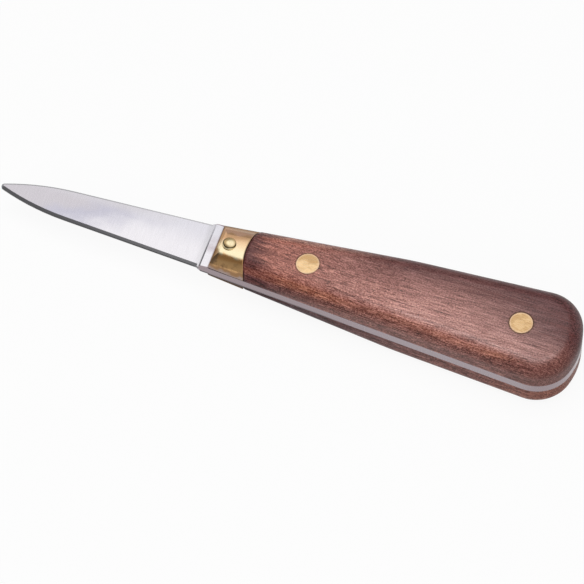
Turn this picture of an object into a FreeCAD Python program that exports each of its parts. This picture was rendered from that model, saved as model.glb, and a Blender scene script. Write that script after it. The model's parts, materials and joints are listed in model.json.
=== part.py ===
import FreeCAD, Part
import math
import os

from FreeCAD import Vector

# Oyster knife lying on its side: a full-tang steel blade, brass bolsters and riveted wooden scales.
# It is laid out in millimetres with the point at x = 0, the butt at +x and the blade's mid-plane
# at z = 0. Each finished piece is then moved so that the origin is under the middle of the knife,
# on the surface that it lies on.

# Overall sizes
overall_length = 160.0
handle_thickness = 18.0

# Blade: a lance point with blunt bevelled edges, ground thinner than the tang
blade_length = 60.0
blade_thickness = 1.65
blade_edge_angle = 3.3
point_radius = 67.0
bevel_width = 0.63
bevel_depth = 0.52
nose_flat = 0.2
ricasso_length = 2.95
plunge_radius = 1.1

# Tang: full length and full width, with a rounded butt
tang_thickness = 2.8
tang_width_front = 13.7
taper_angle = 3.95
butt_corner_radius = 10.3
butt_end_radius = 20.0

# Handle section: a flat face that climbs from the bolster, with rounded edges all round
crown_thickness_front = 10.9
crown_angle = 4.7
crown_blend_radius = 90.0
edge_round = 4.2

# Bolsters, fuller in the sides below than above, and the bowed joint behind them
bolster_length = 8.6
bolster_inset_top = 0.15
bolster_inset_side = 0.05
bolster_round_below = 3.4
joint_radius = 16.7
bolster_nose_radius = 2.0
bolster_nose_rake = 75.0
bolster_rear_round = 0.25
scale_front_round = 0.8

# Bolster pin, with a domed head on each side
pin_from_bolster_front = 3.8
pin_diameter = 2.5
pin_head_diameter = 3.7
pin_head_rim = 0.5
pin_head_dome = 0.34
pin_rim_round = 0.45
pin_clearance = 0.03

# Handle rivets: a sleeve from above and a post from below
front_rivet_from_bolster = 16.9
rear_rivet_from_butt = 16.1
rivet_head_diameter = 6.1
rivet_head_thickness = 1.4
rivet_barrel_diameter = 4.0
rivet_post_diameter = 2.6
rivet_clearance = 0.03
rivet_end_gap = 0.4

# Room that cutting shapes take beyond the piece that they cut, and the slack in telling edges apart
beyond = 10.0
same_place = 1e-4

half_tang = tang_thickness / 2
half_handle = handle_thickness / 2
half_blade = blade_thickness / 2
half_width_front = tang_width_front / 2
plunge_x = blade_length - ricasso_length
joint_x = blade_length + bolster_length
joint_centre = Vector(joint_x + joint_radius, 0, 0)
pin_x = blade_length + pin_from_bolster_front
rivet_places = {
    "front": joint_x + front_rivet_from_bolster,
    "rear": overall_length - rear_rivet_from_butt,
}
up = Vector(0, 0, 1)


def line(start, end):
    return Part.LineSegment(start, end).toShape()


def arc(centre, start, end):
    """The arc about a centre from start to end, less than half a turn."""
    radius = (start - centre).Length
    middle = (start - centre) + (end - centre)
    middle.normalize()
    return Part.Arc(start, centre + middle * radius, end).toShape()


def across(point):
    """The same point on the other side of the knife's long axis."""
    return Vector(point.x, -point.y, point.z)


def mirrored(shape):
    """The same shape on the other face of the blade."""
    return shape.mirror(Vector(0, 0, 0), up)


def direction(angle):
    """A level direction at an angle, in degrees, from the knife's long axis."""
    return Vector(math.cos(math.radians(angle)), math.sin(math.radians(angle)), 0)


def outward(along):
    """The level direction that points out of the knife's side, square to an edge."""
    return Vector(-along.y, along.x, 0)


def on_edge(start, along, x):
    """The point at x on a straight edge."""
    return start + along * ((x - start.x) / along.x)


def touching_centre(start, along, radius, other_centre, spread):
    """Centre of a circle that touches a straight edge and lies a set distance from another centre."""
    inner = start - outward(along) * radius
    offset = inner - other_centre
    run = offset.dot(along)
    reach = math.sqrt(run * run - offset.dot(offset) + spread * spread)
    return inner + along * (reach - run)


def side_prism(edges):
    """A solid that runs right across the knife, from an outline in its x-z plane."""
    face = Part.Face(Part.Wire(edges))
    face.translate(Vector(0, -overall_length, 0))
    return face.extrude(Vector(0, 2 * overall_length, 0))


def polygon(points):
    return [line(points[i - 1], points[i]) for i in range(len(points))]


def cylinder(x, bottom, top, diameter):
    return Part.makeCylinder(diameter / 2, top - bottom, Vector(x, 0, bottom), up)


def drilled(shape, x, diameter):
    """A shape with an upright hole right through it on the knife's long axis."""
    return shape.cut(cylinder(x, -handle_thickness, handle_thickness, diameter))


# Straight edges of the blade and of the tang, which meet at the bolster's front
shoulder = Vector(blade_length, half_width_front, 0)
blade_along = direction(blade_edge_angle)
blade_out = outward(blade_along)
tang_along = direction(taper_angle)
tang_out = outward(tang_along)

# Round point: a small nose arc that runs into a long arc on each side
nose_radius = bevel_width + nose_flat
nose_centre = Vector(nose_radius, 0, 0)
point_centre = touching_centre(shoulder, blade_along, point_radius, nose_centre, point_radius - nose_radius)
cheek_out = (nose_centre - point_centre).normalize()

# Round butt: a corner arc on each side of a flatter end arc
end_centre = Vector(overall_length - butt_end_radius, 0, 0)
corner_spread = butt_end_radius - butt_corner_radius
corner_centre = touching_centre(shoulder, tang_along, butt_corner_radius, end_centre, corner_spread)
corner_out = (corner_centre - end_centre).normalize()


def blade_outline(inset, z):
    """Outline of the blade from the plunge to the point, drawn in by an inset."""
    heel = on_edge(shoulder - blade_out * inset, blade_along, plunge_x)
    belly = point_centre + blade_out * (point_radius - inset)
    cheek = nose_centre + cheek_out * (nose_radius - inset)
    wire = Part.Wire([
        line(heel, belly),
        arc(point_centre, belly, cheek),
        arc(nose_centre, cheek, across(cheek)),
        arc(across(point_centre), across(cheek), across(belly)),
        line(across(belly), across(heel)),
        line(across(heel), heel),
    ])
    wire.translate(up * z)
    return wire


def handle_outline(inset, front, front_edges):
    """Outline of the handle from its front corners to the butt, drawn in by an inset."""
    side_end = corner_centre + tang_out * (butt_corner_radius - inset)
    corner_end = corner_centre + corner_out * (butt_corner_radius - inset)
    edges = [
        line(front, side_end),
        arc(corner_centre, side_end, corner_end),
        arc(end_centre, corner_end, across(corner_end)),
        arc(across(corner_centre), across(corner_end), across(side_end)),
        line(across(side_end), across(front)),
    ]
    return Part.Wire(edges + front_edges)


def crown_height(x, drop):
    """Height of the climbing part of the handle's flat face above the mid-plane."""
    return crown_thickness_front / 2 - drop + (x - joint_x) * math.tan(math.radians(crown_angle))


def crown_prism(drop):
    """Everything under the handle's flat face: it climbs from the bolster and blends into level."""
    level = half_handle - drop
    turn = math.radians(crown_angle)
    blend_low = level - crown_blend_radius * (1 - math.cos(turn))
    blend_start_x = joint_x + (blend_low - crown_height(joint_x, drop)) / math.tan(turn)
    blend_end_x = blend_start_x + crown_blend_radius * math.sin(turn)
    floor_z = -half_handle - beyond
    front_x = plunge_x - beyond
    back_x = blend_end_x + overall_length
    front = Vector(front_x, 0, crown_height(front_x, drop))
    blend_start = Vector(blend_start_x, 0, blend_low)
    blend_end = Vector(blend_end_x, 0, level)
    back = Vector(back_x, 0, level)
    floor_back = Vector(back_x, 0, floor_z)
    floor_front = Vector(front_x, 0, floor_z)
    return side_prism([
        line(front, blend_start),
        arc(Vector(blend_end_x, 0, level - crown_blend_radius), blend_start, blend_end),
        line(blend_end, back),
        line(back, floor_back),
        line(floor_back, floor_front),
        line(floor_front, front),
    ])


def beside_joint(far_x):
    """Everything between the bowed joint and a far end, above the mid-plane."""
    side = Vector(0, overall_length, 0)
    bow_end = joint_centre - direction(-60) * joint_radius
    corner = Vector(bow_end.x, 0, 0) + side
    far_corner = Vector(far_x, 0, 0) + side
    outline = Part.Wire([
        arc(joint_centre, bow_end, across(bow_end)),
        line(across(bow_end), across(corner)),
        line(across(corner), across(far_corner)),
        line(across(far_corner), far_corner),
        line(far_corner, corner),
        line(corner, bow_end),
    ])
    return Part.Face(outline).extrude(up * handle_thickness)


def above_tang(shape):
    """The part of a shape that lies on or over the tang's upper face."""
    corner = Vector(-beyond, -overall_length, half_tang)
    room = Part.makeBox(overall_length + 2 * beyond, 2 * overall_length, handle_thickness, corner)
    return shape.common(room)


def handle_blank(inset_side, inset_top, side_round):
    """Upper side of the handle in one piece, from the plunge to the butt, with its long edges rounded."""
    front = on_edge(shoulder - tang_out * inset_side, tang_along, plunge_x)
    face = Part.Face(handle_outline(inset_side, front, [line(across(front), front)]))
    face.translate(up * -half_handle)
    blank = face.extrude(up * (handle_thickness + beyond)).common(crown_prism(inset_top))
    rim = []
    for edge in blank.Edges:
        on_top = edge.BoundBox.ZMin > crown_height(plunge_x, inset_top) - same_place
        runs_along = edge.BoundBox.XLength > same_place
        if on_top and runs_along:
            rim.append(edge)
    return blank.makeFillet(side_round, rim)


def joint_edges(shape):
    """Edges of a piece's end at the joint, apart from the one on the mid-plane."""
    found = []
    for edge in shape.Edges:
        reaches = [math.hypot(point.x - joint_centre.x, point.y) for point in edge.discretize(5)]
        in_joint = all(abs(reach - joint_radius) < same_place for reach in reaches)
        if in_joint and edge.BoundBox.ZMax > same_place:
            found.append(edge)
    return found


def rivet_seat(x):
    """Height of the shoulder that a rivet's head pulls down on."""
    return min(crown_height(x, 0), half_handle) - rivet_head_thickness


def make_blade():
    """One steel blank: bevelled blade, plunge, ricasso and full tang."""
    edge_land = half_blade - bevel_depth
    core = Part.Face(blade_outline(0, -edge_land)).extrude(up * 2 * edge_land)
    bevelled = Part.makeLoft([blade_outline(0, edge_land), blade_outline(bevel_width, half_blade)], True, True)

    heel = on_edge(shoulder, blade_along, plunge_x)
    ricasso = [line(across(shoulder), across(heel)), line(across(heel), heel), line(heel, shoulder)]
    tang_face = Part.Face(handle_outline(0, shoulder, ricasso))
    tang_face.translate(up * -half_tang)
    tang = tang_face.extrude(up * tang_thickness)

    # The plunge is a hollow arc that leaves the blade's face level and meets the ricasso steeply
    step = half_tang - half_blade
    plunge_run = math.sqrt(plunge_radius ** 2 - (plunge_radius - step) ** 2)
    low = Vector(plunge_x, 0, half_blade)
    high = Vector(plunge_x + plunge_run, 0, half_tang)
    corner = Vector(plunge_x, 0, half_tang)
    ground_away = side_prism([
        arc(Vector(plunge_x, 0, half_blade + plunge_radius), low, high),
        line(high, corner),
        line(corner, low),
    ])
    tang = tang.cut(ground_away).cut(mirrored(ground_away))

    blade = tang.multiFuse([core, bevelled, mirrored(bevelled)]).removeSplitter()
    blade = drilled(blade, pin_x, pin_diameter + 2 * pin_clearance)
    for x in rivet_places.values():
        blade = drilled(blade, x, rivet_barrel_diameter + 2 * rivet_clearance)
    return blade


def make_bolster(side_round):
    """Upper brass bolster: a steep rounded nose, a flat face and rounded sides, let in from the wood."""
    bolster = handle_blank(bolster_inset_side, bolster_inset_top, side_round)
    bolster = bolster.common(beside_joint(-beyond))
    bolster = bolster.makeFillet(bolster_rear_round, joint_edges(bolster))

    slope = math.radians(crown_angle)
    rake = math.radians(bolster_nose_rake)
    foot = Vector(blade_length, 0, half_tang)
    ramp = Vector(math.cos(rake), 0, math.sin(rake))
    ramp_in = Vector(math.sin(rake), 0, -math.cos(rake))
    face_in = Vector(math.sin(slope), 0, -math.cos(slope))
    face_point = Vector(blade_length, 0, crown_height(blade_length, bolster_inset_top))
    # The nose arc's centre lies one radius inside both the ramp and the flat face
    start = foot + ramp_in * bolster_nose_radius
    depth = bolster_nose_radius - (start - face_point).dot(face_in)
    nose_middle = start + ramp * (depth / ramp.dot(face_in))
    ramp_top = nose_middle - ramp_in * bolster_nose_radius
    face_start = nose_middle - face_in * bolster_nose_radius
    back_x = joint_x + beyond
    back_top = Vector(back_x, 0, crown_height(back_x, 0))
    back_foot = Vector(back_x, 0, half_tang)
    nose = side_prism([
        line(foot, ramp_top),
        arc(nose_middle, ramp_top, face_start),
        line(face_start, back_top),
        line(back_top, back_foot),
        line(back_foot, foot),
    ])
    return drilled(bolster.common(nose), pin_x, pin_diameter + 2 * pin_clearance)


def make_bolster_pin():
    """Brass pin through both bolsters, peened to a low dome with a rounded rim on each face."""
    seat = crown_height(pin_x, bolster_inset_top)
    head_radius = pin_head_diameter / 2
    dome_radius = (head_radius ** 2 + pin_head_dome ** 2) / (2 * pin_head_dome)
    rim_top = Vector(head_radius, 0, seat + pin_head_rim)
    dome_top = Vector(0, 0, rim_top.z + pin_head_dome)
    section = Part.Face(Part.Wire([
        line(Vector(0, 0, 0), Vector(head_radius, 0, 0)),
        line(Vector(head_radius, 0, 0), rim_top),
        arc(Vector(0, 0, dome_top.z - dome_radius), rim_top, dome_top),
        line(dome_top, Vector(0, 0, 0)),
    ]))
    head = section.revolve(Vector(0, 0, 0), up, 360)
    rim = [edge for edge in head.Edges if edge.BoundBox.ZLength < same_place and edge.BoundBox.ZMin > seat]
    head = head.makeFillet(pin_rim_round, rim)
    head.translate(Vector(pin_x, 0, 0))
    head = head.cut(crown_prism(bolster_inset_top))
    shank = cylinder(pin_x, -seat, seat, pin_diameter)
    return shank.multiFuse([head, mirrored(head)]).removeSplitter()


def make_scale():
    """Upper wooden scale: rounded at the bolster and all round, bored for the two rivets."""
    scale = handle_blank(0, 0, edge_round).common(beside_joint(overall_length + beyond))
    scale = scale.makeFillet(scale_front_round, joint_edges(scale))
    scale = above_tang(scale)
    for x in rivet_places.values():
        scale = drilled(scale, x, rivet_barrel_diameter + 2 * rivet_clearance)
        head_hole = rivet_head_diameter + 2 * rivet_clearance
        scale = scale.cut(cylinder(x, rivet_seat(x), handle_thickness, head_hole))
    return scale


def rivet_head(x):
    """Upper head of a rivet, ground flush with the scale."""
    return cylinder(x, rivet_seat(x), handle_thickness, rivet_head_diameter).common(crown_prism(0))


def make_rivet_sleeve(x):
    """Tubular half of a rivet, put in from above."""
    seat = rivet_seat(x)
    barrel_end = rivet_end_gap - seat
    barrel = cylinder(x, barrel_end, seat, rivet_barrel_diameter)
    bore = cylinder(x, barrel_end, seat, rivet_post_diameter + 2 * rivet_clearance)
    return rivet_head(x).fuse(barrel.cut(bore))


def make_rivet_post(x):
    """Solid half of a rivet, pressed in from below."""
    seat = rivet_seat(x)
    shank = cylinder(x, -seat, seat - rivet_end_gap, rivet_post_diameter)
    return mirrored(rivet_head(x)).fuse(shank)


def make_pieces():
    scale = make_scale()
    pieces = {
        "blade": make_blade(),
        "bolster_upper": make_bolster(edge_round),
        "bolster_lower": mirrored(make_bolster(bolster_round_below)),
        "bolster_pin": make_bolster_pin(),
        "scale_upper": scale,
        "scale_lower": mirrored(scale),
    }
    for name, x in rivet_places.items():
        pieces[name + "_rivet_sleeve"] = make_rivet_sleeve(x)
        pieces[name + "_rivet_post"] = make_rivet_post(x)
    return pieces


os.makedirs("parts", exist_ok=True)
for name, shape in make_pieces().items():
    solid = shape.Solids[0]
    solid.translate(Vector(-overall_length / 2, 0, half_handle))
    solid.exportStep("parts/" + name + ".step")
    print(name, "valid", solid.isValid(), "solids", len(shape.Solids), "volume", round(solid.Volume, 2))
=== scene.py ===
import json
import math

import bmesh
import bpy
from mathutils import Matrix, Vector

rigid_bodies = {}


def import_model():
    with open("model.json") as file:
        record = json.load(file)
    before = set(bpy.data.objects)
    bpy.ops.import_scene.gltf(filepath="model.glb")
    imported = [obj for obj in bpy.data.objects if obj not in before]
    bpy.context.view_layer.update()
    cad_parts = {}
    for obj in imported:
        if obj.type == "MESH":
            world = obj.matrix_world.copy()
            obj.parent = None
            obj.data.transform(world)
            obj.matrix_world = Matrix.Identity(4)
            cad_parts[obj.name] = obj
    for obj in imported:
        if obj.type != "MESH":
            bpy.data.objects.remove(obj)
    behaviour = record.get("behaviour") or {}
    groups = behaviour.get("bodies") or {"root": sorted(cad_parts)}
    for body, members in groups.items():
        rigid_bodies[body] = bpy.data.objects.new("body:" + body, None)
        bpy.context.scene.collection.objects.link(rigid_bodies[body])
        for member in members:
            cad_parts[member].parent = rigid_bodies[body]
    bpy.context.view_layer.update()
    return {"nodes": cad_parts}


for leftover in list(bpy.data.objects):
    bpy.data.objects.remove(leftover)
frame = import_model()

# Blade: one blank of stainless steel, stamped and ground to a blunt lance point, with a full tang.
# The faces carry a fine satin grind and the edges a coarser bevel grind.
# The tang runs back between the scales, and its dull edge shows all round the handle.
nodes = frame["nodes"]
MM = 0.001
MIDDLE_Z = 9.0
# The blade's tones along and across, and its dark bevels and edge, are painted reflection and shade
STEEL_POINT = (0.550, 0.522, 0.556)
STEEL_COOL = (0.506, 0.494, 0.571)
STEEL_HEEL = (0.760, 0.738, 0.770)
STEEL_HEEL_FAR = (0.656, 0.643, 0.690)
STEEL_FAR = (0.585, 0.565, 0.600)
STEEL_BEVEL_POINT = (0.290, 0.286, 0.302)
STEEL_BEVEL_HEEL = (0.500, 0.492, 0.515)
STEEL_SHADE = (0.060, 0.059, 0.063)
STEEL_SMUDGE = (0.530, 0.475, 0.510)
STEEL_TANG_FRONT = (0.315, 0.252, 0.270)
STEEL_TANG = (0.350, 0.296, 0.318)
GRIND_GRAIN = (5.0, 0.20, 0.20)
GRIND_TURN = (0, 0, 12)
GRIND_SLANT = 1.8
GRIND_DEPTH = 0.0008
GRIND_ROUGHNESS = (0.3, 0.7, 0.22, 0.28)
PATCH_GRAIN = (0.12, 0.18, 0.18)
PATCH_SHIFT = (4.3, 0, 0)
# A fade is where it starts and ends, mostly in millimetres, then its strength at both if not 0 and 1
PATCH_WAVER = (0.3, 0.7, -4.0, 4.0)
COOL_FADE = (-66.0, -54.0)
FAR_FADE = (1.5, 4.5)
HEEL_FADE = (-57.0, -37.0)
HEEL_FAR_FADE = (-3.0, 5.0)
BEVEL_HEEL_FADE = (-75.0, -25.0)
BEVEL_FADE = (0.81, 0.74)
NOSE_FADE = (0.36, 0.30)
HOLLOW_ALONG = (-24.6, -22.8, 0.0, 0.5)
HOLLOW_TOP = (1.30, 1.20)
HOLLOW_ACROSS = (-7.0, 1.0, 0.5, 1.0)
PLUNGE_FOOT = (0.86, 1.0)
PLUNGE_TOP = (1.38, 1.28)
PLUNGE_ACROSS = (-3.0, 5.5, 0.8, 0.0)
SMUDGE_Y = 0.4
SMUDGE_ACROSS = (3.4, 0.6)
SMUDGE_TOP = (1.36, 1.40)
SMUDGE_PATCHES = (0.35, 0.55)
TANG_FADE = (-20.4, -19.6)
TANG_SIDE = (6.45, 6.65, 0.0, 2.5)
TANG_PALE_FADE = (0.0, 42.0)
TANG_BUTT_FADE = (66.0, 74.0)
LOWER_EDGE_Z = (8.4, 7.9, 0.0, 0.8)
LOWER_EDGE_X = (-19.0, -20.0)
TANG_SEAM_Z = (8.2, 7.7, 0.0, 0.75)
TANG_SEAM_X = (22.0, 10.0)


def feed(socket, value):
    """Links another node's output to a socket, or sets the socket itself."""
    if isinstance(value, bpy.types.NodeSocket):
        socket.id_data.links.new(value, socket)
    else:
        socket.default_value = value


def new_finish(name):
    """A material with its node tree and its surface shader."""
    material = bpy.data.materials.new(name)
    material.use_nodes = True
    tree = material.node_tree
    return material, tree, tree.nodes["Principled BSDF"]


def place(tree):
    """Where a point lies on the knife, in millimetres."""
    spot = tree.nodes.new("ShaderNodeTexCoord")
    scaled = tree.nodes.new("ShaderNodeVectorMath")
    scaled.operation = "SCALE"
    feed(scaled.inputs[0], spot.outputs["Object"])
    scaled.inputs["Scale"].default_value = 1 / MM
    return scaled.outputs[0]


def along(tree, vector, axis):
    """One coordinate of a vector: X, Y or Z."""
    parts = tree.nodes.new("ShaderNodeSeparateXYZ")
    feed(parts.inputs[0], vector)
    return parts.outputs[axis]


def stretched(tree, vector, scale, turn=(0, 0, 0), shift=(0, 0, 0)):
    """A vector turned, scaled and shifted, so that a pattern is drawn out along one way."""
    mapping = tree.nodes.new("ShaderNodeMapping")
    feed(mapping.inputs["Vector"], vector)
    mapping.inputs["Scale"].default_value = scale
    mapping.inputs["Rotation"].default_value = [math.radians(angle) for angle in turn]
    mapping.inputs["Location"].default_value = shift
    return mapping.outputs[0]


def mottle(tree, vector, detail=2.0, roughness=0.5, distortion=0.0):
    """Cloudy variation from 0 to 1, about one cloud for each unit of the vector."""
    noise = tree.nodes.new("ShaderNodeTexNoise")
    feed(noise.inputs["Vector"], vector)
    noise.inputs["Scale"].default_value = 1.0
    noise.inputs["Detail"].default_value = detail
    noise.inputs["Roughness"].default_value = roughness
    noise.inputs["Distortion"].default_value = distortion
    return noise.outputs[0]


def fade(tree, value, start, end, at_start=0.0, at_end=1.0):
    """A strength that passes smoothly from one level to another as a value goes from start to end."""
    ranged = tree.nodes.new("ShaderNodeMapRange")
    ranged.clamp = True
    ranged.interpolation_type = "SMOOTHSTEP"
    feed(ranged.inputs["Value"], value)
    ranged.inputs["From Min"].default_value = start
    ranged.inputs["From Max"].default_value = end
    feed(ranged.inputs["To Min"], at_start)
    feed(ranged.inputs["To Max"], at_end)
    return ranged.outputs[0]


def worked(tree, operation, first, second=0.0):
    """Two values brought together by one arithmetic operation."""
    maths = tree.nodes.new("ShaderNodeMath")
    maths.operation = operation
    feed(maths.inputs[0], first)
    feed(maths.inputs[1], second)
    return maths.outputs[0]


def plus(tree, first, second):
    return worked(tree, "ADD", first, second)


def minus(tree, first, second):
    return worked(tree, "SUBTRACT", first, second)


def times(tree, first, second):
    return worked(tree, "MULTIPLY", first, second)


def apart(tree, value, other):
    """How far two values lie from each other."""
    return worked(tree, "ABSOLUTE", minus(tree, value, other))


def tint(tree, share, first, second):
    """A colour between two others."""
    mix = tree.nodes.new("ShaderNodeMix")
    mix.data_type = "RGBA"
    feed(mix.inputs[0], share)
    for socket, colour in ((mix.inputs[6], first), (mix.inputs[7], second)):
        feed(socket, colour if isinstance(colour, bpy.types.NodeSocket) else (*colour, 1.0))
    return mix.outputs[2]


def relief(tree, shader, height_mm):
    """Fine relief on a shader's surface, from a height in millimetres."""
    bump = tree.nodes.new("ShaderNodeBump")
    bump.inputs["Distance"].default_value = MM
    feed(bump.inputs["Height"], height_mm)
    feed(shader.inputs["Normal"], bump.outputs[0])


def clothe(material, *names):
    """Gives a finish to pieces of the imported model."""
    for name in names:
        nodes[name].material_slots[0].material = material


def ground_steel():
    """Satin steel, with painted reflection greyer at the point, painted shade in the plunge, and a
    dull tang edge.
    """
    material, tree, shader = new_finish("ground_steel")
    spot = place(tree)
    x, y, z = (along(tree, spot, axis) for axis in "XYZ")
    height = apart(tree, z, MIDDLE_Z)
    lines = mottle(tree, stretched(tree, spot, GRIND_GRAIN, turn=GRIND_TURN), detail=3.0)
    patches = mottle(tree, stretched(tree, spot, PATCH_GRAIN, shift=PATCH_SHIFT), detail=3.0)

    # Faces and bevels: greyer towards the point and darker on the far half, the bevels and the edge,
    # as painted reflection
    slanted = minus(tree, x, times(tree, y, GRIND_SLANT))
    wavered = plus(tree, slanted, fade(tree, patches, *PATCH_WAVER))
    front = tint(tree, fade(tree, wavered, *COOL_FADE), STEEL_POINT, STEEL_COOL)
    front = tint(tree, fade(tree, y, *FAR_FADE), front, STEEL_FAR)
    heel = tint(tree, fade(tree, y, *HEEL_FAR_FADE), STEEL_HEEL, STEEL_HEEL_FAR)
    face = tint(tree, fade(tree, wavered, *HEEL_FADE), front, heel)
    bevel = tint(tree, fade(tree, x, *BEVEL_HEEL_FADE), STEEL_BEVEL_POINT, STEEL_BEVEL_HEEL)
    ground = tint(tree, fade(tree, height, *BEVEL_FADE), face, bevel)
    ground = tint(tree, fade(tree, height, *NOSE_FADE), ground, STEEL_SHADE)

    # Plunge and ricasso: painted shade beside and in the plunge, and a smudge on the ricasso
    hollow_shade = times(tree, fade(tree, x, *HOLLOW_ALONG), fade(tree, height, *HOLLOW_TOP))
    hollow_shade = times(tree, hollow_shade, fade(tree, y, *HOLLOW_ACROSS))
    ground = tint(tree, hollow_shade, ground, STEEL_BEVEL_HEEL)
    plunge = times(tree, fade(tree, height, *PLUNGE_FOOT), fade(tree, height, *PLUNGE_TOP))
    plunge = times(tree, plunge, fade(tree, y, *PLUNGE_ACROSS))
    ground = tint(tree, plunge, ground, STEEL_SHADE)
    from_smudge = apart(tree, y, SMUDGE_Y)
    smudge = times(tree, fade(tree, from_smudge, *SMUDGE_ACROSS), fade(tree, height, *SMUDGE_TOP))
    smudge = times(tree, smudge, fade(tree, patches, *SMUDGE_PATCHES))
    ground = tint(tree, smudge, ground, STEEL_SMUDGE)

    # Edge of the tang: dull, darker as painted reflection, with painted shadow along its lower edge
    tang = tint(tree, fade(tree, x, *TANG_PALE_FADE), STEEL_TANG_FRONT, STEEL_TANG)
    tang = tint(tree, fade(tree, x, *TANG_BUTT_FADE), tang, STEEL_TANG_FRONT)
    lower_edge_shadow = times(tree, fade(tree, z, *LOWER_EDGE_Z), fade(tree, x, *LOWER_EDGE_X))
    tang = tint(tree, lower_edge_shadow, tang, STEEL_SHADE)
    seam_shadow = times(tree, fade(tree, z, *TANG_SEAM_Z), fade(tree, x, *TANG_SEAM_X))
    tang = tint(tree, seam_shadow, tang, STEEL_SHADE)
    side = fade(tree, worked(tree, "ABSOLUTE", y), *TANG_SIDE)
    in_tang = fade(tree, plus(tree, x, side), *TANG_FADE)

    feed(shader.inputs["Base Color"], tint(tree, in_tang, ground, tang))
    feed(shader.inputs["Roughness"], fade(tree, lines, *GRIND_ROUGHNESS))
    shader.inputs["Metallic"].default_value = 1.0
    relief(tree, shader, times(tree, lines, GRIND_DEPTH))
    return material


clothe(ground_steel(), "blade")

# Bolsters: two cheeks of brass, sawn from bar, fitted each side of the tang and filed to the blade.
# Their flat faces are polished; the browner sides and front corners are painted reflection and shade.
# Behind, a bowed joint meets the wood along a thin line of painted shade.
BRASS_FACE = (0.835, 0.72, 0.48)
BRASS_DEEP = (0.76, 0.51, 0.30)
BRASS_BROWN = (0.58, 0.345, 0.190)
BRASS_FRONT = (0.50, 0.37, 0.245)
BRASS_CORNER = (0.33, 0.205, 0.112)
BRASS_JOINT_SHADE = (0.21, 0.140, 0.085)
BRASS_SHOULDER = (0.80, 0.42, 0.16)
BRASS_FLANK = (0.85, 0.51, 0.23)
BRASS_FAR = (0.72, 0.445, 0.31)
BRASS_RIM = (0.50, 0.40, 0.325)
BRASS_LOW_SHADE = (0.30, 0.172, 0.088)
BRASS_FOOT = (0.355, 0.275, 0.250)
BRASS_EDGE = (0.50, 0.40, 0.32)
BRASS_UNDER_SHADE = (0.118, 0.101, 0.103)
BRASS_CROWN_RADIUS = 42.0
JOINT_X = -11.4
JOINT_RADIUS = 16.7
POLISH_GRAIN = (0.5, 5.0, 5.0)
POLISH_DEPTH = 0.002
POLISH_ROUGHNESS = (0.3, 0.7, 0.15, 0.23)
CLOUD_GRAIN = (0.4, 0.4, 0.4)
CLOUD_REACH = (0.3, 0.7, -0.6, 0.6)
DEEP_FADE = (-2.4, 2.2)
BROWN_SLANT = 0.25
BROWN_FADE = (4.6, 6.2)
FLANK_FADE = (2.9, 3.9)
SHOULDER_FADE = (-5.3, -4.5)
FAR_HALF = (-1.0, 1.0)
NEAR_HALF = (1.0, -1.0)
FRONT_FADE = (-18.2, -19.5)
FRONT_NEAR = (-1.5, -3.5, 0.0, 0.8)
FRONT_MIDDLE_Y = 0.8
CORNER_FADE = (1.2, 3.2)
FACE_CLIMB = 0.09
LOW_SHADE_FADE = (5.6, 4.5)
FOOT_FADE = (3.0, 1.8)
RIM_ACROSS = (4.2, 5.0, 0.0, 0.8)
RIM_HEIGHT = (13.3, 14.3)
SEAM_FADE = (0.40, 0.10, 0.0, 0.75)
UNDER_TOP = (9.0, 8.0)
UNDER_FOOT = (5.4, 6.4)


def plan_reach(tree, x, y, centre_x):
    """How far a point lies, seen from above, from a centre on the knife's middle line."""
    aside = times(tree, y, y)
    onward = worked(tree, "POWER", apart(tree, x, centre_x), 2.0)
    return worked(tree, "SQRT", plus(tree, aside, onward))


def crown_loss(tree, y, radius):
    """How much lower a face with a slight crown lies than its middle line."""
    return worked(tree, "DIVIDE", times(tree, y, y), 2 * radius)


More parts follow.
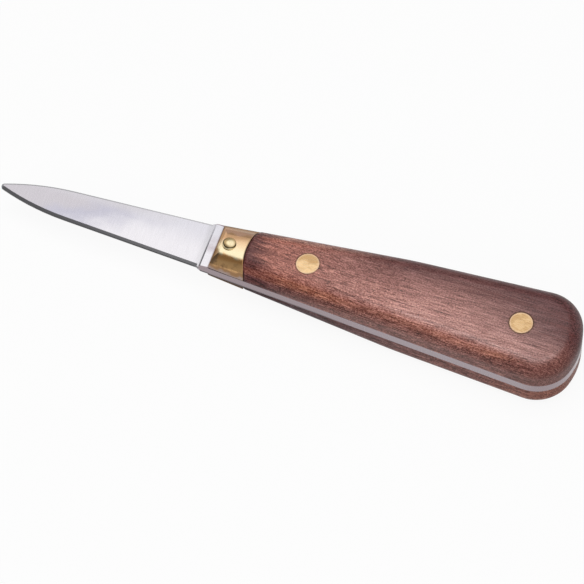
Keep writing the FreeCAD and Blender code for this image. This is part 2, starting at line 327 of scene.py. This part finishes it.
def bolster_brass():
    """Polished brass, with painted shade and darker painted reflection on the sides and at the front.
    """
    material, tree, shader = new_finish("bolster_brass")
    spot = place(tree)
    x, y, z = (along(tree, spot, axis) for axis in "XYZ")
    height = apart(tree, z, MIDDLE_Z)
    lines = mottle(tree, stretched(tree, spot, POLISH_GRAIN), detail=3.0)
    clouds = mottle(tree, stretched(tree, spot, CLOUD_GRAIN), detail=3.0)
    clouds = fade(tree, clouds, *CLOUD_REACH)

    # Flat face and sides, their tones across and their colours painted as reflection
    face = tint(tree, fade(tree, y, *DEEP_FADE), BRASS_FACE, BRASS_DEEP)
    slanted = minus(tree, y, times(tree, x, BROWN_SLANT))
    face = tint(tree, fade(tree, slanted, *BROWN_FADE), face, BRASS_BROWN)
    near_side = tint(tree, fade(tree, y, *SHOULDER_FADE), BRASS_FLANK, BRASS_SHOULDER)
    sides = tint(tree, fade(tree, y, *FAR_HALF), near_side, BRASS_FAR)
    flank = fade(tree, plus(tree, worked(tree, "ABSOLUTE", y), clouds), *FLANK_FADE)
    colour = tint(tree, flank, face, sides)

    # Rounded front and its corners, browner as painted shade
    off_centre = plus(tree, apart(tree, y, FRONT_MIDDLE_Y), clouds)
    corner = tint(tree, fade(tree, off_centre, *CORNER_FADE), BRASS_FRONT, BRASS_CORNER)
    front = minus(tree, plus(tree, x, clouds), fade(tree, y, *FRONT_NEAR))
    colour = tint(tree, fade(tree, front, *FRONT_FADE), colour, corner)

    # Painted shade towards the tang, by the wood and below the tang; painted reflection at the foot
    # and on the far rim
    climb = times(tree, x, FACE_CLIMB)
    low = plus(tree, minus(tree, height, climb), clouds)
    colour = tint(tree, fade(tree, low, *LOW_SHADE_FADE), colour, BRASS_LOW_SHADE)
    near_half = fade(tree, y, *NEAR_HALF)
    foot = times(tree, fade(tree, plus(tree, height, clouds), *FOOT_FADE), near_half)
    colour = tint(tree, foot, colour, BRASS_FOOT)
    upper = fade(tree, minus(tree, z, climb), *RIM_HEIGHT)
    far_rim = times(tree, fade(tree, y, *RIM_ACROSS), upper)
    colour = tint(tree, far_rim, colour, BRASS_RIM)
    # A thin line of painted shade along the joint with the wood
    ahead = minus(tree, plan_reach(tree, x, y, JOINT_X + JOINT_RADIUS), JOINT_RADIUS)
    colour = tint(tree, fade(tree, ahead, *SEAM_FADE), colour, BRASS_JOINT_SHADE)
    # Painted shadow on the near side below the tang
    under_shade = times(tree, fade(tree, z, *UNDER_TOP), fade(tree, z, *UNDER_FOOT))
    colour = tint(tree, times(tree, under_shade, near_half), colour, BRASS_UNDER_SHADE)

    feed(shader.inputs["Base Color"], colour)
    feed(shader.inputs["Roughness"], fade(tree, lines, *POLISH_ROUGHNESS))
    shader.inputs["Metallic"].default_value = 1.0
    shader.inputs["Specular Tint"].default_value = (*BRASS_EDGE, 1.0)
    crown = crown_loss(tree, y, BRASS_CROWN_RADIUS)
    relief(tree, shader, minus(tree, times(tree, lines, POLISH_DEPTH), crown))
    return material


clothe(bolster_brass(), "bolster_upper", "bolster_lower")

# Bolster pin: brass rod driven through both cheeks and the tang.
# Each end is peened over to a low polished dome, with a painted highlight and a painted shadow at its
# foot.
PIN_BRASS = (0.95, 0.80, 0.51)
PIN_SHADED = (0.50, 0.355, 0.175)
PIN_SHADOW = (0.075, 0.055, 0.025)
PIN_X = -16.2
HAMMER_GRAIN = (1.2, 1.2, 1.2)
HAMMER_REACH = 0.4
HAMMER_DEPTH = 0.02
HAMMER_ROUGHNESS = (0.3, 0.7, 0.26, 0.34)
HIGHLIGHT_SHIFT = 0.35
PIN_SHADE_FADE = (0.85, 1.55)
DOME_SHIFT_X = 0.1
DOME_SHIFT_Y = 0.2
DOME_FOOT = (1.72, 1.86)
SHADOW_INNER = (1.44, 1.58, 0.0, 0.95)
SHADOW_OUTER = (1.88, 1.74, 0.1, 1.0)


def pin_brass():
    """Hammered brass, with a painted highlight on the dome, painted shade towards its foot and a
    painted shadow beside it.
    """
    material, tree, shader = new_finish("pin_brass")
    spot = place(tree)
    x, y = (along(tree, spot, axis) for axis in "XY")
    hammered = mottle(tree, stretched(tree, spot, HAMMER_GRAIN))
    off_highlight = plan_reach(tree, x, y, PIN_X + HIGHLIGHT_SHIFT)
    off_highlight = plus(tree, off_highlight, times(tree, hammered, HAMMER_REACH))
    colour = tint(tree, fade(tree, off_highlight, *PIN_SHADE_FADE), PIN_BRASS, PIN_SHADED)
    off_dome = plan_reach(tree, x, minus(tree, y, DOME_SHIFT_Y), PIN_X + DOME_SHIFT_X)
    colour = tint(tree, fade(tree, off_dome, *DOME_FOOT), colour, PIN_BRASS)
    foot_shadow = times(tree, fade(tree, off_dome, *SHADOW_INNER), fade(tree, off_dome, *SHADOW_OUTER))
    feed(shader.inputs["Base Color"], tint(tree, foot_shadow, colour, PIN_SHADOW))
    feed(shader.inputs["Roughness"], fade(tree, hammered, *HAMMER_ROUGHNESS))
    shader.inputs["Metallic"].default_value = 1.0
    relief(tree, shader, times(tree, hammered, HAMMER_DEPTH))
    return material


clothe(pin_brass(), "bolster_pin")

# Scales: two slabs of rosewood glued and riveted to the tang, shaped together with it and oiled.
# The grain slants a little at the bolster and straightens behind, with short flecks and dark pores.
# Sanding by hand leaves the broad faces crowned a little and dirt in the joints, deepened by painted
# shade.
WOOD_DARK = (0.084, 0.027, 0.028)
WOOD_STREAK = (0.085, 0.014, 0.009)
WOOD_MID = (0.305, 0.112, 0.088)
WOOD_LIGHT = (0.385, 0.155, 0.121)
WOOD_WARM = (0.348, 0.116, 0.080)
WOOD_ORANGE = (0.355, 0.126, 0.072)
WOOD_PALE = (0.50, 0.26, 0.20)
WOOD_SIDE = (0.200, 0.071, 0.056)
WOOD_UNDER_SHADE = (0.052, 0.027, 0.033)
WOOD_DIRT = (0.080, 0.034, 0.014)
RIVET_X = (5.5, 63.9)
RIVET_RADIUS = 3.05
# The flat face climbs from the joint until the handle has its full thickness
CROWN_FRONT = 5.45
CROWN_SLOPE = 0.082
HALF_HANDLE = 9.0
CROWN_RADIUS = 170.0
# Grain: how often each figure repeats in a millimetre along, across and through the wood
GRAIN_SLANT = 0.16
GRAIN_BEND = 0.0015
GRAIN_SLANT_LENGTH = 53.0
BAND_GRAIN = (0.012, 0.20, 0.20)
STREAK_GRAIN = (0.06, 1.3, 1.3)
FIBRE_GRAIN = (0.22, 3.2, 3.2)
FLECK_GRAIN = (2.2, 4.0, 4.0)
FLECK_SHIFT = (2, 5, 8)
PORE_GRAIN = (0.06, 2.2, 2.2)
PORE_SHIFT = (7, 3, 1)
RING_GRAIN = (0.010, 0.40, 0.40)
RING_SHIFT = (3, 9, 4)
BAND_FADE = (0.35, 0.65)
STREAK_FADE = (0.60, 0.36, 0.0, 0.20)
RING_FADE = (0.035, 0.005, 0.0, 0.45)
PORE_FADE = (0.34, 0.28)
FIBRE_WEIGHT = 3.0
FLECK_WEIGHT = 4.4
FINE_MEAN = 3.7
FLECK_FLOOR = 0.2
GRAIN_CONTRAST = {"X": 0.95, "Y": 1.35, "Z": 1.45}
BUTT_CONTRAST = (60.0, 74.0, 1.0, 0.75)
SIDE_CONTRAST = (0.0, 0.9, 1.0, 1.6)
GRIT_DEPTH = 0.010
# Painted shade on the far side, towards the butt and on the lower scale; a painted sheen on the near
# side; a warmer front
NEAR_ALONG = (2.0, 32.0)
NEAR_ACROSS = (-1.0, -7.5, 0.0, 0.68)
FAR_ALONG = (-3.0, 33.0)
FAR_ACROSS = (-4.0, 9.0, 0.0, 0.95)
FAR_DRIFT = (25.0, 55.0, 0.0, 1.9)
BUTT_ALONG = (36.0, 78.0)
BUTT_SHADE = 0.85
BUTT_SHADE_CUT = 0.8
BUTT_END = (67.0, 77.0, 0.0, 0.07)
BUTT_ACROSS = (-8.0, 1.0, 0.28, 1.0)
WARM_ALONG = (19.0, 0.0, 0.0, 0.85)
UNDER_ALONG = (-8.0, 66.0)
# Dirt and painted shade by the joint, and dirt round the rivets
JOINT_BOW = 6.0
JOINT_RAGGED = (0.35, 0.65, -1.8, 1.8)
JOINT_NEAR = (1.0, -5.0, 0.0, -2.2)
JOINT_FADE = (7.0, 0.5, 0.0, 0.9)
JOINT_LOW_FADE = (20.0, 2.0, 0.0, 0.6)
CREVICE_FADE = (0.6, 0.2, 0.0, 0.8)
RIVET_RING = (0.48, 0.15)
RIVET_RING_ALONG = (20.0, 50.0, 0.6, 0.9)
# Rounded edges, by how far a point lies below the flat face
SHOULDER_DROP = (0.1, 0.8, 0.0, 0.8)
EDGE_TOP = (0.05, 0.3)
EDGE_FOOT = (1.8, 1.2)
FAR_EDGE_ACROSS = (2.0, 4.0, 0.0, 0.5)
FRONT_EDGE_ACROSS = (-2.0, -4.5, 0.0, 0.42)
FRONT_EDGE_ALONG = (4.0, -2.0)
FRONT_EDGE_DROP = (0.3, 0.6)
SIDE_DROP = (0.8, 2.4, 0.0, 0.9)
SIDE_BUTT_DROP = (56.0, 70.0, 0.0, 1.5)
SIDE_ALONG = (55.0, 76.0)
SIDE_SHADE_CUT = 0.5
ORANGE_CUT_FRONT = (12.0, 22.0, 0.0, 0.45)
ORANGE_CUT_REAR = (62.0, 54.0)
ORANGE_CUT_ACROSS = (-5.0, -7.0)
# Gloss of the oil, and where it is dulled or rubbed off
OIL_GLOSS = 0.36
OIL_GLOSS_CUT = 0.17
LEAST_GLOSS = 0.05
OIL_ROUGHNESS = (0.3, 0.7, 0.50, 0.38)
FAR_DULLED = 0.15
BUTT_DULLED = 0.11
BUTT_END_DULLED = (67.0, 77.0, 0.0, 0.06)
RING_DULLED = 0.24
JOINT_DULLED = 0.13
RUBBED_ALONG = (10.0, 30.0, 0.09, 0.0)
RUBBED_ACROSS = (3.0, -3.0)
FLAT_EDGE_SLOPE = -0.068
FLAT_EDGE_Y = 4.25
FLAT_EDGE_FADE = (-0.8, 0.3)
FLAT_EDGE_ALONG = (8.0, 38.0, 0.17, 0.0)
FLAT_EDGE_DROP = (1.0, 0.5)
FAR_GLEAM = (1.0, 4.0, 0.0, 0.16)


def rivet_reach(tree, x, y):
    """How far a point lies, seen from above, from the centre of the nearer rivet."""
    return worked(tree, "MINIMUM", *(plan_reach(tree, x, y, rivet_x) for rivet_x in RIVET_X))


def bent_grain(tree, x, y, z, shift):
    """The place of a point in the board that the scale was cut from."""
    slanted = worked(tree, "MINIMUM", minus(tree, x, JOINT_X), GRAIN_SLANT_LENGTH)
    slant = minus(tree, GRAIN_SLANT, times(tree, slanted, GRAIN_BEND))
    bent = tree.nodes.new("ShaderNodeCombineXYZ")
    feed(bent.inputs["X"], x)
    feed(bent.inputs["Y"], plus(tree, y, times(tree, slant, slanted)))
    feed(bent.inputs["Z"], z)
    return stretched(tree, bent.outputs[0], (1, 1, 1), shift=shift)


def flecked(tree, colour, spread):
    """A colour with fine flecks, which vary each of its three parts by its own contrast."""
    flecks = tree.nodes.new("ShaderNodeCombineXYZ")
    for channel, strength in GRAIN_CONTRAST.items():
        fleck = plus(tree, times(tree, spread, strength), 1.0)
        feed(flecks.inputs[channel], worked(tree, "MAXIMUM", fleck, FLECK_FLOOR))
    grained = tree.nodes.new("ShaderNodeVectorMath")
    grained.operation = "MULTIPLY"
    feed(grained.inputs[0], colour)
    feed(grained.inputs[1], flecks.outputs[0])
    return grained.outputs[0]


def rosewood(name, shift, shade_share):
    """Oiled rosewood, with its grain shifted, and painted shade at its front by a share from 0 to 1.
    """
    material, tree, shader = new_finish(name)
    spot = place(tree)
    x, y, z = (along(tree, spot, axis) for axis in "XYZ")
    grain = bent_grain(tree, x, y, z, shift)
    bands = mottle(tree, stretched(tree, grain, BAND_GRAIN), detail=3.0, distortion=0.4)
    streaks = mottle(tree, stretched(tree, grain, STREAK_GRAIN), detail=3.0, roughness=0.6)
    fibres = mottle(tree, stretched(tree, grain, FIBRE_GRAIN), detail=2.0, roughness=0.7)
    flecks = stretched(tree, grain, FLECK_GRAIN, shift=FLECK_SHIFT)
    flecks = mottle(tree, flecks, detail=2.0, roughness=0.75)
    pores = mottle(tree, stretched(tree, grain, PORE_GRAIN, shift=PORE_SHIFT), detail=2.0)
    rings = mottle(tree, stretched(tree, grain, RING_GRAIN, shift=RING_SHIFT), detail=1.0)

    # Painted shade on the far side, towards the butt and on the lower scale, and a painted sheen on
    # the near side
    across = minus(tree, y, fade(tree, x, *FAR_DRIFT))
    far = times(tree, fade(tree, x, *FAR_ALONG), fade(tree, across, *FAR_ACROSS))
    near_sheen = times(tree, fade(tree, x, *NEAR_ALONG), fade(tree, y, *NEAR_ACROSS))
    butt = fade(tree, x, *BUTT_ALONG, 0.0, BUTT_SHADE - BUTT_SHADE_CUT * shade_share)
    butt = plus(tree, butt, fade(tree, x, *BUTT_END))
    butt = times(tree, butt, fade(tree, y, *BUTT_ACROSS))
    under_shade = fade(tree, x, *UNDER_ALONG, shade_share, 0.0)

    # Dirt and painted shade by the joint, and dirt round the rivets
    behind = minus(tree, x, JOINT_X)
    inside = minus(tree, JOINT_RADIUS, plan_reach(tree, x, y, JOINT_X + JOINT_RADIUS))
    past_joint = worked(tree, "MAXIMUM", inside, minus(tree, behind, JOINT_BOW))
    ragged = plus(tree, past_joint, fade(tree, streaks, *JOINT_RAGGED))
    ragged = plus(tree, ragged, fade(tree, y, *JOINT_NEAR))
    joint_dirt_and_shade = fade(tree, ragged, *JOINT_FADE)
    crevice_shade = fade(tree, past_joint, *CREVICE_FADE)
    ring_start, ring_end = (RIVET_RADIUS + gap for gap in RIVET_RING)
    ring_strength = fade(tree, x, *RIVET_RING_ALONG)
    ring = fade(tree, rivet_reach(tree, x, y), ring_start, ring_end, 0.0, ring_strength)

    # Rounded edges, and painted shade on the low sides
    rise = plus(tree, times(tree, behind, CROWN_SLOPE), CROWN_FRONT)
    half_here = worked(tree, "MINIMUM", rise, HALF_HANDLE)
    drop = minus(tree, half_here, apart(tree, z, MIDDLE_Z))
    shoulder = fade(tree, drop, *SHOULDER_DROP)
    upper_edge = times(tree, fade(tree, drop, *EDGE_TOP), fade(tree, drop, *EDGE_FOOT))
    far_edge_sheen = times(tree, upper_edge, fade(tree, y, *FAR_EDGE_ACROSS))
    front_edge = times(tree, fade(tree, y, *FRONT_EDGE_ACROSS), fade(tree, x, *FRONT_EDGE_ALONG))
    front_edge = times(tree, front_edge, times(tree, upper_edge, fade(tree, drop, *FRONT_EDGE_DROP)))
    low_side_shade = fade(tree, plus(tree, drop, fade(tree, x, *SIDE_BUTT_DROP)), *SIDE_DROP)
    side_along = fade(tree, x, *SIDE_ALONG, 1.0, 1.0 - SIDE_SHADE_CUT * shade_share)
    low_side_shade = times(tree, low_side_shade, side_along)
    low_joint_shade = times(tree, low_side_shade, fade(tree, ragged, *JOINT_LOW_FADE))
    orange_cut = times(tree, fade(tree, x, *ORANGE_CUT_FRONT), fade(tree, x, *ORANGE_CUT_REAR))
    orange_cut = times(tree, orange_cut, fade(tree, y, *ORANGE_CUT_ACROSS))

    # Colours, from the broad bands to the fine flecks
    colour = tint(tree, fade(tree, bands, *BAND_FADE), WOOD_MID, WOOD_LIGHT)
    # A painted sheen lightens the near side
    colour = tint(tree, near_sheen, colour, WOOD_LIGHT)
    colour = tint(tree, fade(tree, x, *WARM_ALONG), colour, WOOD_WARM)
    # A painted band of warmer light on the near shoulder, held back along the handle's middle
    colour = tint(tree, minus(tree, shoulder, orange_cut), colour, WOOD_ORANGE)
    # A painted sheen on the far edge
    colour = tint(tree, far_edge_sheen, colour, WOOD_PALE)
    # Painted shade on the low sides
    colour = tint(tree, low_side_shade, colour, WOOD_SIDE)
    # Painted shade on the far side, towards the butt, low by the joint and in the crevice; dirt and
    # painted shade by the joint
    for shade in (far, butt, joint_dirt_and_shade, low_joint_shade, crevice_shade):
        colour = tint(tree, shade, colour, WOOD_DARK)
    colour = tint(tree, front_edge, colour, WOOD_WARM)
    # Painted shade along the lower scale, strongest at its front
    colour = tint(tree, under_shade, colour, WOOD_UNDER_SHADE)
    ring_line = fade(tree, apart(tree, rings, 0.5), *RING_FADE)
    pitted = fade(tree, pores, *PORE_FADE)
    for figure in (fade(tree, streaks, *STREAK_FADE), ring_line, pitted):
        colour = tint(tree, figure, colour, WOOD_STREAK)
    colour = tint(tree, ring, colour, WOOD_DIRT)
    fine = plus(tree, times(tree, fibres, FIBRE_WEIGHT), times(tree, flecks, FLECK_WEIGHT))
    contrast = times(tree, fade(tree, x, *BUTT_CONTRAST), fade(tree, low_side_shade, *SIDE_CONTRAST))
    spread = times(tree, minus(tree, fine, FINE_MEAN), contrast)
    feed(shader.inputs["Base Color"], flecked(tree, colour, spread))

    # Gloss
    feed(shader.inputs["Roughness"], fade(tree, fibres, *OIL_ROUGHNESS))
    dulled = worked(tree, "MAXIMUM", times(tree, far, FAR_DULLED), times(tree, butt, BUTT_DULLED))
    dulled = plus(tree, dulled, fade(tree, x, *BUTT_END_DULLED))
    dulled = plus(tree, dulled, times(tree, ring, RING_DULLED))
    oiled = minus(tree, OIL_GLOSS - OIL_GLOSS_CUT * shade_share, dulled)
    rubbed = times(tree, shoulder, fade(tree, x, *RUBBED_ALONG))
    rubbed = times(tree, rubbed, fade(tree, y, *RUBBED_ACROSS))
    past_flat = minus(tree, times(tree, x, FLAT_EDGE_SLOPE), plus(tree, y, FLAT_EDGE_Y))
    flat_edge = times(tree, fade(tree, past_flat, *FLAT_EDGE_FADE), fade(tree, x, *FLAT_EDGE_ALONG))
    flat_edge = times(tree, flat_edge, fade(tree, drop, *FLAT_EDGE_DROP))
    rubbed = worked(tree, "MAXIMUM", rubbed, flat_edge)
    far_gleam = times(tree, shoulder, fade(tree, y, *FAR_GLEAM))
    worn = minus(tree, plus(tree, times(tree, joint_dirt_and_shade, JOINT_DULLED), rubbed), far_gleam)
    gloss = worked(tree, "MAXIMUM", minus(tree, oiled, worn), LEAST_GLOSS)
    feed(shader.inputs["Specular IOR Level"], gloss)

    # Relief of the grain and the slight crown
    grit = times(tree, minus(tree, plus(tree, fibres, flecks), pitted), GRIT_DEPTH)
    relief(tree, shader, minus(tree, grit, crown_loss(tree, y, CROWN_RADIUS)))
    return material


clothe(rosewood("rosewood_upper", (0, 0, 0), 0.0), "scale_upper")
# The lower scale is a shaded copy of the same wood
clothe(rosewood("rosewood_lower_shaded", (31, 11, 17), 0.97), "scale_lower")

# Handle rivets: brass sleeves and posts pressed together through the scales and the tang.
# Their heads are ground flush with the wood and brushed, and have dulled unevenly.
RIVET_BRASS = (0.84, 0.59, 0.33)
RIVET_DULL = (0.56, 0.355, 0.172)
RIVET_RIM = (0.72, 0.50, 0.36)
BRUSH_GRAIN = (0.5, 4.0, 1.0)
BRUSH_TURN = (0, 0, 60)
BRUSH_DEPTH = 0.003
BRUSH_ROUGHNESS = (0.3, 0.7, 0.22, 0.30)
BRUSH_SHINE = (0.35, 0.65)
RUB_GRAIN = (0.55, 0.7, 0.7)
RUB_SHIFT = (1.5, 4, 0)
RUB_SHINE = (0.38, 0.62)
FRONT_DULL_ACROSS = (-0.6, 2.4, -0.25, 1.05)
REAR_DULL = 0.25
FRONT_TO_REAR = (20.0, 50.0)
RIVET_RIM_FADE = (2.5, 2.95, 0.0, 0.5)


def rivet_brass():
    """Brushed brass, duller on one side of the front head and paler round the rims."""
    material, tree, shader = new_finish("rivet_brass")
    spot = place(tree)
    x, y = (along(tree, spot, axis) for axis in "XY")
    lines = mottle(tree, stretched(tree, spot, BRUSH_GRAIN, turn=BRUSH_TURN), detail=3.0)
    rubbed = mottle(tree, stretched(tree, spot, RUB_GRAIN, shift=RUB_SHIFT), detail=2.0)
    shine = plus(tree, fade(tree, lines, *BRUSH_SHINE), fade(tree, rubbed, *RUB_SHINE))
    dulled = fade(tree, x, *FRONT_TO_REAR, fade(tree, y, *FRONT_DULL_ACROSS), REAR_DULL)
    shine = minus(tree, times(tree, shine, 0.5), dulled)
    colour = tint(tree, shine, RIVET_DULL, RIVET_BRASS)
    rim = fade(tree, rivet_reach(tree, x, y), *RIVET_RIM_FADE)
    feed(shader.inputs["Base Color"], tint(tree, rim, colour, RIVET_RIM))
    feed(shader.inputs["Roughness"], fade(tree, lines, *BRUSH_ROUGHNESS))
    shader.inputs["Metallic"].default_value = 1.0
    relief(tree, shader, times(tree, lines, BRUSH_DEPTH))
    return material


clothe(rivet_brass(), "front_rivet_sleeve", "front_rivet_post", "rear_rivet_sleeve", "rear_rivet_post")

# Table: a plain pale sheet under the knife.
# It shows white, but keeps the knife's soft shadow.
TABLE_SPAN = 6.0
TABLE_GAP = 0.00005
TABLE_COLOUR = (0.82, 0.82, 0.82, 1.0)
TABLE_WHITE_SHARE = 0.92


def seen_directly(tree):
    """1 for what the camera, a reflection or a refraction sees, and 0 for light that only bounces."""
    path = tree.nodes.new("ShaderNodeLightPath")
    seen = worked(tree, "MAXIMUM", path.outputs["Is Camera Ray"], path.outputs["Is Glossy Ray"])
    return worked(tree, "MAXIMUM", seen, path.outputs["Is Transmission Ray"])


def table_white():
    """A matt pale sheet that looks white wherever no shadow falls."""
    material, tree, shader = new_finish("table_white")
    shader.inputs["Base Color"].default_value = TABLE_COLOUR
    shader.inputs["Roughness"].default_value = 1.0
    shader.inputs["Specular IOR Level"].default_value = 0.0
    glow = tree.nodes.new("ShaderNodeEmission")
    glow.inputs["Strength"].default_value = 1.0
    mix = tree.nodes.new("ShaderNodeMixShader")
    feed(mix.inputs[0], times(tree, seen_directly(tree), TABLE_WHITE_SHARE))
    feed(mix.inputs[1], shader.outputs[0])
    feed(mix.inputs[2], glow.outputs[0])
    feed(tree.nodes["Material Output"].inputs["Surface"], mix.outputs[0])
    return material


table_mesh = bmesh.new()
bmesh.ops.create_grid(table_mesh, x_segments=1, y_segments=1, size=TABLE_SPAN / 2)
bmesh.ops.translate(table_mesh, verts=table_mesh.verts, vec=(0, 0, -TABLE_GAP))
table = bpy.data.objects.new("table", bpy.data.meshes.new("table"))
table_mesh.to_mesh(table.data)
table_mesh.free()
table.data.materials.append(table_white())
bpy.context.scene.collection.objects.link(table)

# Studio: an even white surround, a broad soft lamp overhead and a weak one in front.
# A small lamp only gives the oiled wood its gloss, and a grey tent that only shows in reflections
# has a bright window high at the back and softer ones at both ends of the knife.
SURROUND_LIGHT = 0.25
LAMP_SIZE = 0.6
TOP_LAMP_PLACE = (0.0, 0.0, 0.8)
TOP_LAMP_POWER = 4.2
FRONT_LAMP_PLACE = (0.0, -0.9, 0.7)
FRONT_LAMP_POWER = 2.5
GLOSS_LAMP_PLACE = (0.04, 0.065, 0.4)
GLOSS_LAMP_SIZE = 0.2
GLOSS_LAMP_POWER = 1.4
TENT_RADIUS = 2.5
TENT_FOOT = 0.01
TENT_LIGHT = 1.30
# The tent's tone at each angle, from low behind the knife, over the top, to low in front of it
TENT_TONES = (
    (0, 0.40), (49, 0.40), (57, 1.0), (72, 1.0),
    (87, 0.27), (93, 0.18), (105, 0.145), (135, 0.222), (165, 0.274),
)
# The windows at the ends, by how far along the tent they lie, from -1 at the point to 1 at the butt
WINDOW_TONE = (0.80, 0.80, 0.80)
POINT_LEAN = (-0.30, -0.90, 0.0, 0.45)
POINT_WINDOW = (-0.65, -0.95, 0.0, 0.6)
BUTT_WINDOW = (-0.05, 0.30)
BACK_WINDOW = (-0.25, 0.20)
BACK_WINDOW_ANGLE = (2.0, 1.5)

world = bpy.data.worlds.new("surround")
bpy.context.scene.world = world
world.use_nodes = True
surround = world.node_tree.nodes["Background"]
surround.inputs["Color"].default_value = (1.0, 1.0, 1.0, 1.0)
seen = seen_directly(world.node_tree)
feed(surround.inputs["Strength"], fade(world.node_tree, seen, 0.0, 1.0, SURROUND_LIGHT, 1.0))


def soft_lamp(name, spot, size, power):
    """A square soft lamp that faces the table's middle line."""
    lamp = bpy.data.objects.new(name, bpy.data.lights.new(name, "AREA"))
    lamp.data.size = size
    lamp.data.energy = power
    toward = Vector((spot[0], 0.0, 0.0)) - Vector(spot)
    lamp.matrix_world = Matrix.Translation(spot) @ toward.to_track_quat("-Z", "Y").to_matrix().to_4x4()
    bpy.context.scene.collection.objects.link(lamp)
    return lamp


soft_lamp("top_lamp", TOP_LAMP_PLACE, LAMP_SIZE, TOP_LAMP_POWER).visible_glossy = False
soft_lamp("front_lamp", FRONT_LAMP_PLACE, LAMP_SIZE, FRONT_LAMP_POWER).visible_glossy = False
gloss_lamp = soft_lamp("gloss_lamp", GLOSS_LAMP_PLACE, GLOSS_LAMP_SIZE, GLOSS_LAMP_POWER)
gloss_lamp.visible_diffuse = False
oiled_wood = bpy.data.collections.new("oiled_wood")
for scale_name in ("scale_upper", "scale_lower"):
    oiled_wood.objects.link(nodes[scale_name])
gloss_lamp.light_linking.receiver_collection = oiled_wood


def tent_grey():
    """A glowing grey that is brighter where the tent has its windows."""
    material, tree, _ = new_finish("tent_grey")
    spot = place(tree)
    angle_up = worked(tree, "ARCTAN2", along(tree, spot, "Z"), along(tree, spot, "Y"))
    toward_butt = times(tree, along(tree, spot, "X"), MM / TENT_RADIUS)
    leaning = plus(tree, angle_up, fade(tree, toward_butt, *POINT_LEAN))
    tones = tree.nodes.new("ShaderNodeValToRGB")
    feed(tones.inputs[0], worked(tree, "DIVIDE", leaning, math.pi))
    stops = tones.color_ramp.elements
    for number, (angle, tone) in enumerate(TENT_TONES):
        stop = stops[number] if number < 2 else stops.new(angle / 180)
        stop.position = angle / 180
        stop.color = (tone, tone, tone, 1.0)
    back_window = fade(tree, toward_butt, *BACK_WINDOW)
    back_window = times(tree, back_window, fade(tree, angle_up, *BACK_WINDOW_ANGLE))
    butt_window = fade(tree, toward_butt, *BUTT_WINDOW)
    point_window = fade(tree, toward_butt, *POINT_WINDOW)
    end_window = worked(tree, "MAXIMUM", butt_window, point_window)
    in_window = worked(tree, "MAXIMUM", back_window, end_window)
    glow = tree.nodes.new("ShaderNodeEmission")
    feed(glow.inputs["Color"], tint(tree, in_window, tones.outputs[0], WINDOW_TONE))
    glow.inputs["Strength"].default_value = TENT_LIGHT
    feed(tree.nodes["Material Output"].inputs["Surface"], glow.outputs[0])
    return material


tent_mesh = bmesh.new()
bmesh.ops.create_uvsphere(tent_mesh, u_segments=48, v_segments=24, radius=TENT_RADIUS)
whole = tent_mesh.verts[:] + tent_mesh.edges[:] + tent_mesh.faces[:]
foot = (0, 0, TENT_FOOT)
bmesh.ops.bisect_plane(tent_mesh, geom=whole, plane_co=foot, plane_no=(0, 0, 1), clear_inner=True)
tent = bpy.data.objects.new("tent", bpy.data.meshes.new("tent"))
tent_mesh.to_mesh(tent.data)
tent_mesh.free()
tent.data.materials.append(tent_grey())
bpy.context.scene.collection.objects.link(tent)
tent.visible_camera = False
tent.visible_diffuse = False
tent.visible_shadow = False
tent.visible_transmission = False

# Camera: a long lens that looks down on the knife from the front and a little from the butt's side.
# It aims a little beside the knife's middle, which sets the knife's place in the picture.
CAMERA_AZIMUTH = math.radians(18.973)
CAMERA_ELEVATION = math.radians(60.022)
CAMERA_DISTANCE = 1.4615
CAMERA_LENS = 343.7
CAMERA_REACH = 100.0
KNIFE_MIDDLE = Vector((0.0, 0.0, 0.009))
AIM_RIGHT = 0.0011029
AIM_DOWN = 0.0055227

right = Vector((math.cos(CAMERA_AZIMUTH), math.sin(CAMERA_AZIMUTH), 0.0))
back = Vector((
    math.sin(CAMERA_AZIMUTH) * math.cos(CAMERA_ELEVATION),
    -math.cos(CAMERA_AZIMUTH) * math.cos(CAMERA_ELEVATION),
    math.sin(CAMERA_ELEVATION),
))
top = back.cross(right)
camera = bpy.data.objects.new("camera", bpy.data.cameras.new("camera"))
camera.data.lens = CAMERA_LENS
camera.data.clip_end = CAMERA_REACH
turned = Matrix((right, top, back)).transposed().to_4x4()
eye = KNIFE_MIDDLE + back * CAMERA_DISTANCE + right * AIM_RIGHT - top * AIM_DOWN
camera.matrix_world = Matrix.Translation(eye) @ turned
bpy.context.scene.collection.objects.link(camera)
bpy.context.scene.camera = camera
bpy.context.scene.view_settings.view_transform = "Standard"
